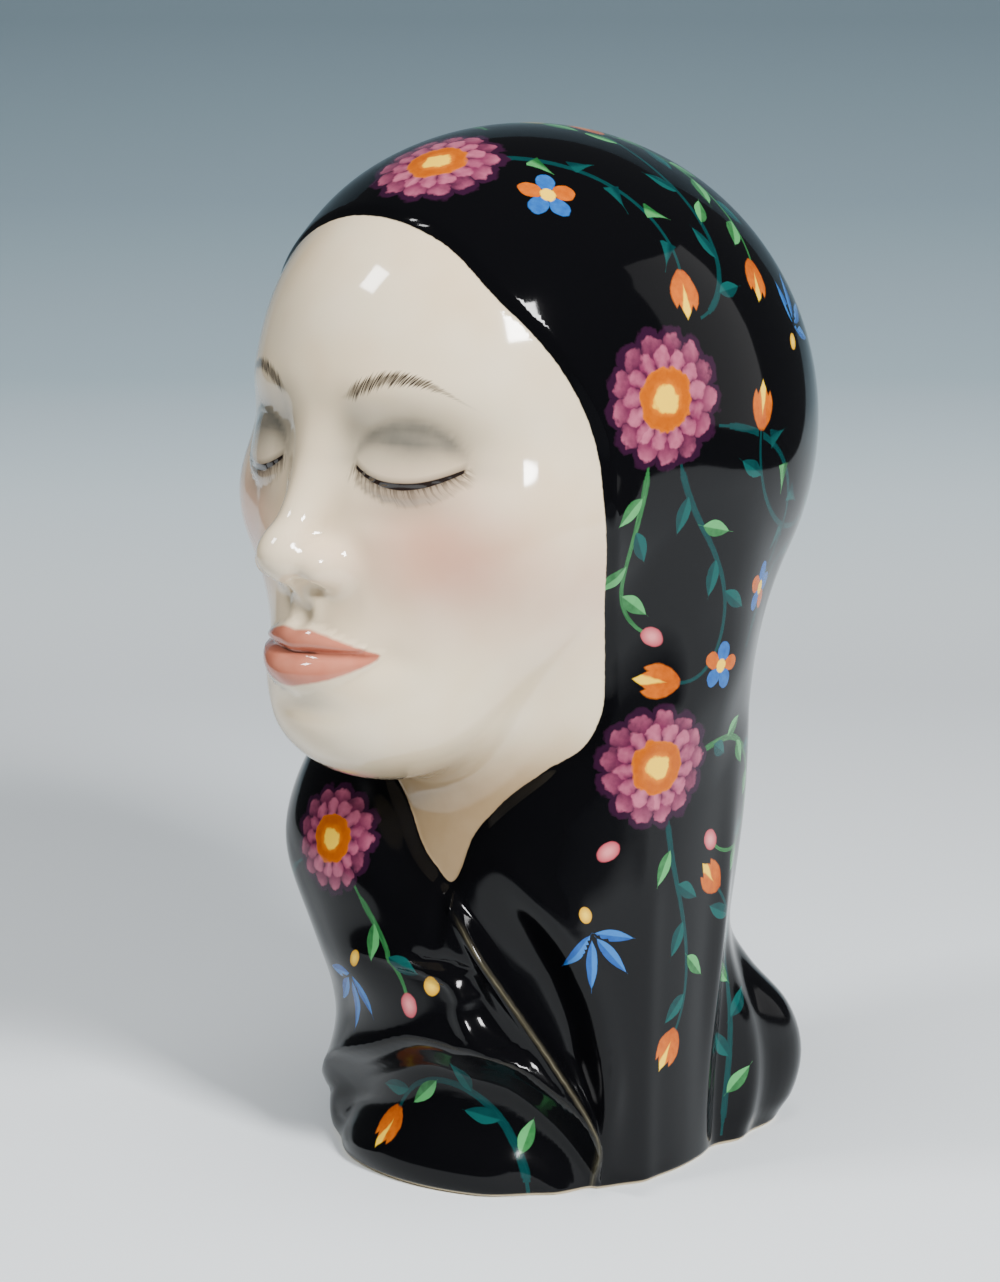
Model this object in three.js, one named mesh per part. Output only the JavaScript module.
// Glazed earthenware bust of a woman in a headscarf, cast as one piece. Millimetres, +Z up, the
// face looks along -Y and the wearer's left is +X. The head, the neck and the wrapped scarf are
// fields that are negative inside. They are joined, and rays from a spine find the surface.
import * as THREE from 'three';

const RAD = Math.PI / 180;

// Head: its own frame is tipped back by headPitch about headCentre, which is at eye level.
const headCentre = [0, -12, 231];
const headPitch = 7;
const skullCentre = [0, 8, 18], skullSemi = [71, 96, 81];
const faceCentre = [0, -26, -28], faceSemi = [60, 60, 68];
const browCentre = [0, -20, 30], browSemi = [60, 68, 60];
const jawCentre = [0, -54, -76], jawSemi = [30, 34, 25];
const cheekCentre = [40, -42, -16], cheekSemi = [24, 26, 24];
const hoodCentre = [0, 9, 10], hoodSemi = [80, 112, 96];
const jawSlimming = 0.22;

// Eyes: closed, one eye's width apart.
const eyeApart = 30.5, eyeHalfWidth = 14.5, eyeCornerZ = -2.5, lashDrop = 5.2;
const socketDepth = 8.5, ballRise = 7.5;

// Mouth.
const mouthHalfWidth = 24.5, mouthZ = -61, upperLip = 8, lowerLip = 10;

// Scarf.
const clothThickness = 1.8;
const openingMiddleZ = 215, openingArcRadius = 68;
const openingEdge = [
  [0, 311], [10, 309.5], [21, 304], [34, 288], [43, 275], [49, 263], [55, 243], [57, 221],
  [60, 194], [63, 170], [63, 157], [59, 147], [45, 137], [28, 123.5], [20, 114], [14, 100],
  [7, 104], [0, 109.5], [-8, 119], [-25, 136], [-45, 148], [-59, 155], [-63, 166], [-60, 194],
  [-57, 221], [-55, 243], [-49, 263], [-43, 275], [-34, 288], [-21, 304], [-10, 309.5],
];
const columnSide = [[0, 61], [60, 62], [110, 64], [150, 66], [180, 69], [235, 72]];
const columnFront = [[0, 59], [30, 60], [55, 58], [95, 59], [120, 54], [150, 50], [235, 46]];
const columnBack = [[0, 64], [60, 62], [120, 67], [160, 70], [200, 78], [235, 84]];
const lipTurn = [
  [0, 61], [21, 59], [45, 48], [68, 34], [97, 15], [104, 10], [121, -1], [150, -12],
];
const crestTurn = [
  [0, 62], [37, 62], [56, 60], [70, 55], [88, 46], [102, 36], [121, 26], [150, 16],
];
const rollZ = [
  [-130, 6], [-100, 10], [-48, 19], [-34, 29], [-9, 41], [8, 48], [24, 46], [36, 43], [44, 37],
  [52, 28], [58, 19], [64, 8],
];
// How far the crossing end stands out by height over its roll.
const rollProfile = [
  [-34, -2.2], [-21, -5.2], [-11, -4.8], [-5, -1], [0, 2.6], [5, 4.2], [13, 2.1], [28, 0],
];
const lobeHeight = [[0, 0.76], [9, 0.95], [26, 1.06], [40, 0.9], [56, 0.42], [70, 0.09], [80, 0]];
// Flared ends at the back: turn in degrees, how far they stand out, half width in degrees and how
// tall they are against lobeHeight.
const lobes = [[145, 29, 19, 1], [180, 17, 23, 0.88], [-148, 11, 22, 0.72]];

// Foot.
const footRing = 9, footRecess = 3, footRound = 2;

// Rays: how many round the spine, where they start to fan out and how far apart they land.
const columns = 77, faceHalfTurn = 58, sideSpread = 2.3, fanZ = 232;
const lowStep = 6, faceStep = 4, fanStep = 12.5;
const edgeSoftness = 2.5;

const clamp = (x, low, high) => Math.min(high, Math.max(low, x));
const smoothStep = (x, low, high) => {
  const t = clamp((x - low) / (high - low), 0, 1);
  return t * t * (3 - 2 * t);
};
const smoothUnion = (a, b, blend) => {
  const h = clamp(0.5 + 0.5 * (b - a) / blend, 0, 1);
  return b * (1 - h) + a * h - blend * h * (1 - h);
};
const bell = (x, centre, width) => Math.exp(-(((x - centre) / width) ** 2));

// A smooth curve through knots [at, value], flat beyond both ends.
function curve(knots) {
  const at = knots.map((k) => k[0]), value = knots.map((k) => k[1]), last = at.length - 1;
  const slope = at.map(() => 0);
  for (let i = 1; i < last; i++) {
    const a = at[i] - at[i - 1], b = at[i + 1] - at[i];
    slope[i] = (b * (value[i] - value[i - 1]) / a + a * (value[i + 1] - value[i]) / b) / (a + b);
  }
  return (x) => {
    const c = clamp(x, at[0], at[last]);
    let i = 0;
    while (i < last - 1 && c >= at[i + 1]) i++;
    const span = at[i + 1] - at[i], t = (c - at[i]) / span, rest = 1 - t;
    return value[i] * (1 + 2 * t) * rest ** 2 + slope[i] * span * t * rest ** 2
      + value[i + 1] * t ** 2 * (3 - 2 * t) - slope[i + 1] * span * t ** 2 * rest;
  };
}

function ellipsoid(x, y, z, centre, semi) {
  const p = [x - centre[0], y - centre[1], z - centre[2]];
  const near = Math.hypot(...p.map((c, i) => c / semi[i])) + 1e-9;
  const steep = Math.hypot(...p.map((c, i) => c / semi[i] ** 2)) + 1e-9;
  return near * (near - 1) / steep;
}

function taperedRod(x, y, z, start, end, radii) {
  const axis = end.map((e, i) => e - start[i]);
  const p = [x - start[0], y - start[1], z - start[2]];
  const dot = (a, b) => a[0] * b[0] + a[1] * b[1] + a[2] * b[2];
  const along = clamp(dot(p, axis) / dot(axis, axis), 0, 1);
  return Math.hypot(...p.map((c, i) => c - along * axis[i])) - radii[0]
    - along * (radii[1] - radii[0]);
}

// How far the closed eyes stand forward of the plain face.
function eyeRelief(side, z) {
  const t = (side - eyeApart) / eyeHalfWidth;
  const fade = smoothStep(-Math.abs(t), -1.12, -0.8);
  const ct = clamp(t, -1.3, 1.3);
  const lash = eyeCornerZ - lashDrop * (1 - ct ** 2) + 0.8 * ct;
  const socket = socketDepth * bell(side, eyeApart - 1, 18) * bell(z, 3.5, 13);
  const root = 4 * bell(side, 15, 6.5) * bell(z, 5, 9);
  const ball = clamp(1 - (t * 0.88) ** 2 - ((z + 1) / 12.5) ** 2, 0, 1) * ballRise;
  const brow = 2.2 * bell(side, eyeApart - 3, 21) * bell(z, 20, 7.5);
  const below = lash - z;
  const step = 1.7 * smoothStep(below, -0.5, 2) * Math.exp(-Math.max(0, below) / 5) * fade;
  return ball + brow - socket - root - step;
}

// How far the lips and what is round them stand forward of the plain face.
function mouthRelief(x, z) {
  const t = clamp(Math.abs(x) / mouthHalfWidth, 0, 1);
  const seam = mouthZ + 1.2 * t ** 2 - 0.9 * bell(x, 0, 5);
  const over = clamp((z - seam) / Math.max(upperLip * (1 - t ** 1.5), 1.5), 0, 1.3);
  const under = clamp((seam - z) / Math.max(lowerLip * (1 - t ** 2.2) ** 0.8, 1.5), 0, 1.3);
  const upper = 2.6 * (1 - t * t) ** 0.7 * Math.sin(Math.PI * over / 1.3) ** 0.9;
  const lower = 3.6 * (1 - t * t) ** 0.6 * Math.sin(Math.PI * (under / 1.3) ** 0.85);
  const groove = 1.5 * bell(z, seam, 1.4) * smoothStep(-t, -1, -0.7);
  const muzzle = 4.5 * bell(x, 0, 23) * bell(z, -60, 17);
  const corners = 1.6 * bell(Math.abs(x), mouthHalfWidth + 2, 4.5) * bell(z, mouthZ, 5);
  const hollow = 3 * bell(x, 0, 17) * bell(z, -78, 5.5);
  return upper + lower + muzzle - groove - corners - hollow;
}

function noseField(side, y, z) {
  const bridge = taperedRod(side, y, z, [0, -80.5, 10], [0, -96, -27], [5.2, 6.4]);
  const tip = ellipsoid(side, y, z, [0, -98.5, -32], [8.0, 8.6, 7.2]);
  const wings = ellipsoid(side, y, z, [9.8, -90, -34], [5.6, 9.5, 6.3]);
  return smoothUnion(smoothUnion(bridge, tip, 7), wings, 4.5);
}

function bareHead(x, y, z) {
  const side = Math.abs(x);
  const moved = y + (eyeRelief(side, z) + mouthRelief(x, z)) * smoothStep(-y, 20, 55);
  const slim = 1 - jawSlimming * smoothStep(-z, 10, 105);
  const face = ellipsoid(x / slim, moved, z, faceCentre, faceSemi);
  const jaw = ellipsoid(x, moved, z, jawCentre, jawSemi);
  let skin = smoothUnion(ellipsoid(x, y, z, skullCentre, skullSemi), smoothUnion(face, jaw, 22), 26);
  skin = smoothUnion(skin, ellipsoid(x, moved, z, browCentre, browSemi), 16);
  skin = smoothUnion(skin, ellipsoid(side, moved, z, cheekCentre, cheekSemi), 14);
  return smoothUnion(skin, noseField(side, y, z), 8);
}

const sideAt = curve(columnSide), frontAt = curve(columnFront), backAt = curve(columnBack);
const lipAt = curve(lipTurn), crestAt = curve(crestTurn), rollAt = curve(rollZ);
const profileAt = curve(rollProfile), lobeAt = curve(lobeHeight);

// Radius of the wrapped cloth before its folds, by turn in degrees round the axis.
function columnRadius(turn, z) {
  const depth = Math.abs(turn) < 90 ? frontAt(z) : backAt(z);
  return 1 / Math.hypot(Math.sin(turn * RAD) / sideAt(z), Math.cos(turn * RAD) / depth);
}

// Distance beyond a line on the cloth that is given as turn by height.
function offLine(lineAt, turn, z, radius) {
  const arc = RAD * radius, slope = (lineAt(z + 1) - lineAt(z)) * arc;
  return (turn - lineAt(z)) * arc / Math.hypot(1, slope);
}

function scarfRadius(turn, z) {
  const base = columnRadius(turn, z);
  const swell = 17.5 * bell(turn, -58, 36) * bell(z, 104, 38);
  const lipSide = offLine(lipAt, turn, z, base);
  const inFront = 1 - smoothStep(lipSide, -2.5, 3.5);
  const rim = 1.6 * bell(lipSide, -3.5, 3.2) * smoothStep(z, 8, 20) * (1 - smoothStep(z, 92, 102));
  const layer = 4 * inFront * smoothStep(turn, -170, -120) * (1 - smoothStep(z, 118, 170));
  const gap = Math.max(0.5, (crestAt(z) - lipAt(z)) * 1.05);
  const valley = 7 * bell(lipSide, gap * 0.45, gap * 0.54) * smoothStep(gap, 1, 14)
    * smoothStep(lipSide, 0, 3) * (1 - smoothStep(z, 70, 112));
  const crest = 3.4 * bell(offLine(crestAt, turn, z, base), 2, 6) * smoothStep(z, -5, 42)
    * (1 - smoothStep(z, 78, 126));
  const rise = z - rollAt(turn);
  const outline = profileAt(rise), hollow = 0.3 + 0.7 * smoothStep(turn, -54, -34);
  const foot = 6 * bell(z, 5, 11) * (1 - 0.75 * smoothStep(turn, 26, 44));
  const plate = (Math.max(outline, 0) + Math.min(outline, 0) * hollow + foot) * inFront
    * smoothStep(turn, -128, -70);
  const pillow = 5.5 * bell(turn, -12, 26) * bell(z, 67, 13.5);
  const sideFold = 1.3 * bell(turn, 77, 5) * (1 - smoothStep(z, 90, 130));
  const napeFold = 2.2 * bell(turn, 112 + (z - 60) * 0.05, 5.5) * bell(z, 70, 45)
    + 4.6 * bell(turn, 131, 20) * bell(z, 122, 58);
  let bulk = 0;
  for (const [at, out, half, tall] of lobes) {
    const apart = ((turn - at + 540) % 360) - 180;
    bulk += (out * bell(apart, 0, half) * lobeAt(z / tall)) ** 3;
  }
  const flare = Math.cbrt(bulk) * (turn > 0 ? smoothStep(turn, 113, 124) : 1);
  return base + swell + layer + rim - valley + crest + plate + pillow + sideFold + napeFold
    + flare;
}

// The opening's edge as a distance by direction from its middle, on the unrolled cloth.
const openingPolar = openingEdge.map(([turn, z]) => {
  const u = turn * RAD * openingArcRadius, v = z - openingMiddleZ;
  return [Math.atan2(u, v), Math.hypot(u, v)];
}).sort((a, b) => a[0] - b[0]);
const openingAt = curve([
  ...openingPolar.slice(-3).map(([a, r]) => [a - 2 * Math.PI, r]),
  ...openingPolar,
  ...openingPolar.slice(0, 3).map(([a, r]) => [a + 2 * Math.PI, r]),
]);

// Distance outside the opening's edge, negative on the skin.
function beyondOpening(turn, z) {
  const u = turn * RAD * openingArcRadius, v = z - openingMiddleZ;
  const way = Math.atan2(u, v), edge = openingAt(way);
  const slope = (openingAt(way + 0.02) - edge) / 0.02;
  return (Math.hypot(u, v) - edge) * edge / Math.hypot(edge, slope);
}

const pitchCos = Math.cos(headPitch * RAD), pitchSin = Math.sin(headPitch * RAD);

function bustField(px, py, pz) {
  const turn = Math.atan2(px, -py) / RAD, rho = Math.hypot(px, py);
  const y = py - headCentre[1], z = pz - headCentre[2];
  const local = [px - headCentre[0], y * pitchCos - z * pitchSin, y * pitchSin + z * pitchCos];
  const bare = bareHead(...local);
  const hood = ellipsoid(...local, hoodCentre, hoodSemi);
  const away = smoothStep(Math.abs(turn), 40, 90) - 0.5 * smoothStep(Math.abs(turn), 100, 130);
  const lift = 0.006 * Math.max(0, pz - 150) ** 2;
  const skin = smoothUnion(bare, rho - columnRadius(turn, pz) + 3.5 + lift, 17 + 16 * away);
  const wrap = rho - scarfRadius(turn, pz) + lift;
  const dressed = smoothUnion(Math.min(bare - clothThickness, hood), wrap, 7 + 34 * away);
  const beyond = beyondOpening(turn, pz);
  const grow = 10 + 28 * smoothStep(pz, 135, 185) - 6 * smoothStep(pz, 270, 300);
  const over = smoothStep(pz, 290, 325) * Math.max(0, py + 78);
  const bulk = 1 - Math.exp(-(((Math.max(0, beyond) + over) / grow) ** 2));
  const hem = clothThickness * (1 - 0.4 * smoothStep(pz, 225, 285));
  const edge = skin - hem * smoothStep(beyond, -edgeSoftness, edgeSoftness + 2);
  const buried = edge + Math.max(0, beyond - 3);
  const rounding = footRound - Math.sqrt(Math.max(0, footRound ** 2 - Math.max(0, footRound - pz) ** 2));
  return edge * (1 - bulk) + Math.min(dressed, buried) * bulk + rounding;
}

// Angles round the spine, closest together on the face.
function rayTurns() {
  const fine = 7200, share = [0], at = [-180];
  const density = (turn) => 1 + (1 / sideSpread - 1)
    * smoothStep(Math.abs(turn), faceHalfTurn, faceHalfTurn + 30);
  for (let i = 1; i <= fine; i++) {
    at.push(-180 + 360 * i / fine);
    share.push(share[i - 1] + (density(at[i]) + density(at[i - 1])) / 2);
  }
  const turns = [];
  for (let c = 0, i = 0; c < columns; c++) {
    const want = share[fine] * c / columns;
    while (share[i + 1] < want) i++;
    turns.push(at[i] + (at[i + 1] - at[i]) * (want - share[i]) / (share[i + 1] - share[i]));
  }
  return turns;
}

// Each ring's start height on the spine and its rays' rise in radians.
function rayRings() {
  const rings = [[0, 0], [footRound / 3, 0], [footRound, 0]];
  const faceFrom = 128;
  const low = Math.round((faceFrom - footRound) / lowStep);
  for (let i = 1; i <= low; i++) rings.push([footRound + (faceFrom - footRound) * i / low, 0]);
  const face = Math.round((fanZ - faceFrom) / faceStep);
  for (let i = 1; i <= face; i++) rings.push([faceFrom + (fanZ - faceFrom) * i / face, 0]);
  const fan = Math.round(Math.PI / 2 * 104 / fanStep);
  for (let i = 1; i < fan; i++) rings.push([fanZ, Math.PI / 2 * i / fan]);
  return rings;
}

const spineAt = curve([[0, 0], [110, 0], [170, -8], [232, -8]]);

// The outermost point where a ray leaves the bust.
function castRay(oy, oz, turn, rise) {
  const dx = Math.sin(turn * RAD) * Math.cos(rise), dy = -Math.cos(turn * RAD) * Math.cos(rise);
  const dz = Math.sin(rise), reach = 150, step = 1.5;
  let outside = reach;
  while (outside > 20 && bustField(dx * outside, oy + dy * outside, oz + dz * outside) > 0) outside -= step;
  let low = outside, high = outside + step;
  for (let i = 0; i < 14; i++) {
    const middle = (low + high) / 2;
    if (bustField(dx * middle, oy + dy * middle, oz + dz * middle) < 0) low = middle;
    else high = middle;
  }
  return [dx * low, oy + dy * low, oz + dz * low];
}

function bustGeometry() {
  const points = [], turns = rayTurns(), rings = rayRings();
  for (const [z, rise] of rings) {
    const lean = (lipAt(z) - 38) * (1 - smoothStep(z, 104, 150));
    for (const turn of turns) points.push(castRay(spineAt(z), z, turn + lean * bell(turn, 38, 34), rise));
  }
  const outline = points.slice(0, columns);
  const inset = (by, z) => outline.map(([x, y]) => {
    const r = Math.hypot(x, y);
    return [x * (1 - by / r), y * (1 - by / r), z];
  });
  const base = [...inset(footRing + footRecess / 2, footRecess), ...inset(footRing, 0)];
  const all = [...base, ...points];
  const count = rings.length + 2, index = [];
  for (let r = 0; r + 1 < count; r++) {
    for (let c = 0; c < columns; c++) {
      const next = (c + 1) % columns, a = r * columns;
      const [p, q, s, t] = [a + c, a + next, a + columns + next, a + columns + c];
      const short = (i, j) => Math.hypot(...[0, 1, 2].map((k) => all[i][k] - all[j][k]));
      if (short(p, s) < short(q, t)) index.push(p, q, s, p, s, t);
      else index.push(p, q, t, q, s, t);
    }
  }
  const under = all.length, crown = under + 1;
  all.push([0, 0, footRecess], castRay(spineAt(fanZ), fanZ, 0, Math.PI / 2));
  for (let c = 0; c < columns; c++) {
    const next = (c + 1) % columns, top = (count - 1) * columns;
    index.push(next, c, under, top + c, top + next, crown);
  }
  const geometry = new THREE.BufferGeometry();
  geometry.setAttribute('position', new THREE.Float32BufferAttribute(all.flat(), 3));
  geometry.setIndex(index);
  // The origin is under the middle of the bounding box.
  geometry.computeBoundingBox();
  const middle = geometry.boundingBox.getCenter(new THREE.Vector3());
  geometry.translate(-middle.x, -middle.y, 0);
  geometry.computeVertexNormals();
  return geometry;
}

const glaze = new THREE.MeshStandardMaterial({ color: 0x0b0b0c, roughness: 0.08, metalness: 0 });
const bust = new THREE.Mesh(bustGeometry(), glaze);
bust.name = 'bust';

const part = new THREE.Group();
part.add(bust);
export default part;
